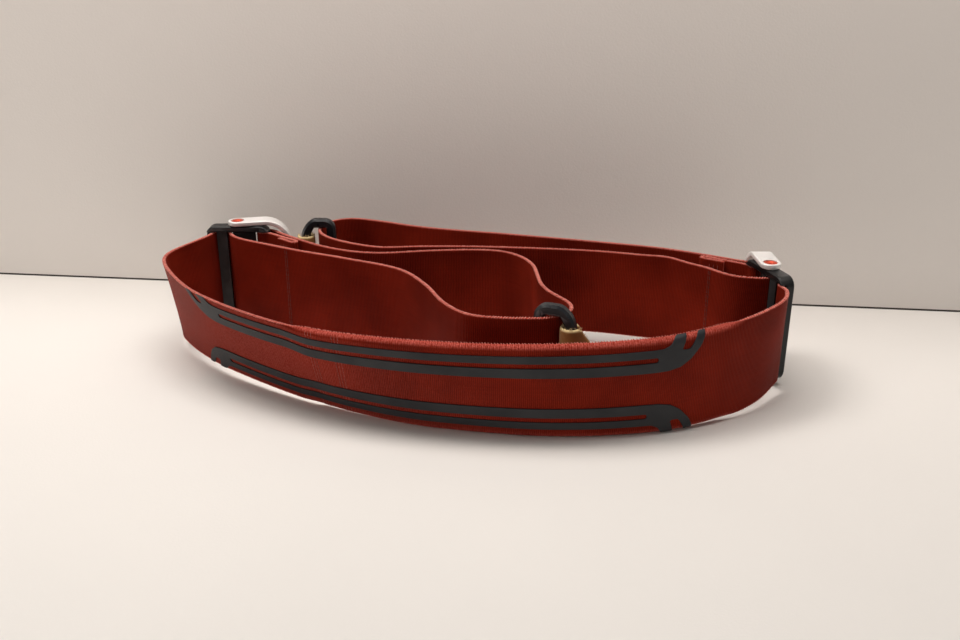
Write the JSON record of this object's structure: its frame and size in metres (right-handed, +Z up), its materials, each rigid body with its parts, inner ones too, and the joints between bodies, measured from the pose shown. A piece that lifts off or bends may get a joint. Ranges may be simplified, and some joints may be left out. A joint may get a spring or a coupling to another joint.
{
  "type": "luggage strap",
  "caption": "Padded carrying strap of woven webbing, coiled on its edge, with lever adjusters and a ring, leather tab and quick connector at each end.",
  "frame": {"origin": "on the table plane, under the middle of the coiled strap's bounding box", "axes": "+X along the longest side of the coiled strap, from the left adjuster to the right one; +Y from the padded shoulder part towards the back runs; +Z up, across the width of the webbing"},
  "size_m": [0.3142, 0.178, 0.0576],
  "materials": {
    "red_webbing": "satin nylon webbing with a fine rib across its width",
    "pad_foam": "closed-cell foam",
    "grip_rubber": "matt silicone print",
    "black_nylon": "fine moulded texture",
    "ring_plastic": "satin-gloss moulded",
    "satin_aluminium": "bead-blasted and anodised silver",
    "red_anodised": "anodised red",
    "tan_leather": "undyed tan with raw edges",
    "spring_steel": "bright"
  },
  "bodies": {
    "strap": {"webbing": "red_webbing", "pad_foam": "pad_foam", "pad_lining": "red_webbing", "grip_print_upper": "grip_rubber", "grip_print_lower": "grip_rubber", "left_adjuster_frame": "black_nylon", "right_adjuster_frame": "black_nylon"},
    "left_handle": {"left_adjuster_handle": "satin_aluminium", "left_clamp_cam": "black_nylon", "left_pivot_screw_upper": "red_anodised", "left_pivot_screw_lower": "red_anodised"},
    "right_handle": {"right_adjuster_handle": "satin_aluminium", "right_clamp_cam": "black_nylon", "right_pivot_screw_upper": "red_anodised", "right_pivot_screw_lower": "red_anodised"},
    "left_ring": {"left_end_ring": "ring_plastic"},
    "right_ring": {"right_end_ring": "ring_plastic"},
    "left_tab": {"left_leather_tab": "tan_leather", "left_connector_housing": "black_nylon", "left_connector_pin": "spring_steel"},
    "right_tab": {"right_leather_tab": "tan_leather", "right_connector_housing": "black_nylon", "right_connector_pin": "spring_steel"},
    "left_latch": {"left_connector_latch": "spring_steel"},
    "right_latch": {"right_connector_latch": "spring_steel"}
  },
  "joints": [
    {"name": "left_handle_swing", "type": "hinge", "parent": "strap", "child": "left_handle", "pos_m": [-0.11962, 0.05376, 0.0288], "axis": [0, 0, 1], "range_deg": [0, 55]},
    {"name": "right_handle_swing", "type": "hinge", "parent": "strap", "child": "right_handle", "pos_m": [0.14938, -0.01674, 0.0288], "axis": [0, 0, -1], "range_deg": [0, 55]},
    {"name": "left_ring_swing", "type": "hinge", "parent": "strap", "child": "left_ring", "pos_m": [-0.07062, 0.06276, 0.028], "axis": [0, 0, -1], "range_deg": [0, 12]},
    {"name": "left_tab_swing", "type": "hinge", "parent": "left_ring", "child": "left_tab", "pos_m": [-0.08462, 0.06276, 0.028], "axis": [0, 0, -1], "range_deg": [0, 35]},
    {"name": "right_ring_swing", "type": "hinge", "parent": "strap", "child": "right_ring", "pos_m": [0.03738, -0.06554, 0.028], "axis": [0, 0, 1], "range_deg": [-4, 2]},
    {"name": "right_tab_swing", "type": "hinge", "parent": "right_ring", "child": "right_tab", "pos_m": [0.05036, -0.07078, 0.028], "axis": [0, 0, 1], "range_deg": [-3, 14]},
    {"name": "left_latch_press", "type": "hinge", "parent": "left_tab", "child": "left_latch", "pos_m": [-0.1303, 0.08422, 0.024], "axis": [0, 0, 1], "range_deg": [0, 3]},
    {"name": "right_latch_press", "type": "hinge", "parent": "right_tab", "child": "right_latch", "pos_m": [0.10297, -0.05318, 0.0185], "axis": [0, 0, 1], "range_deg": [0, 3]}
  ]
}
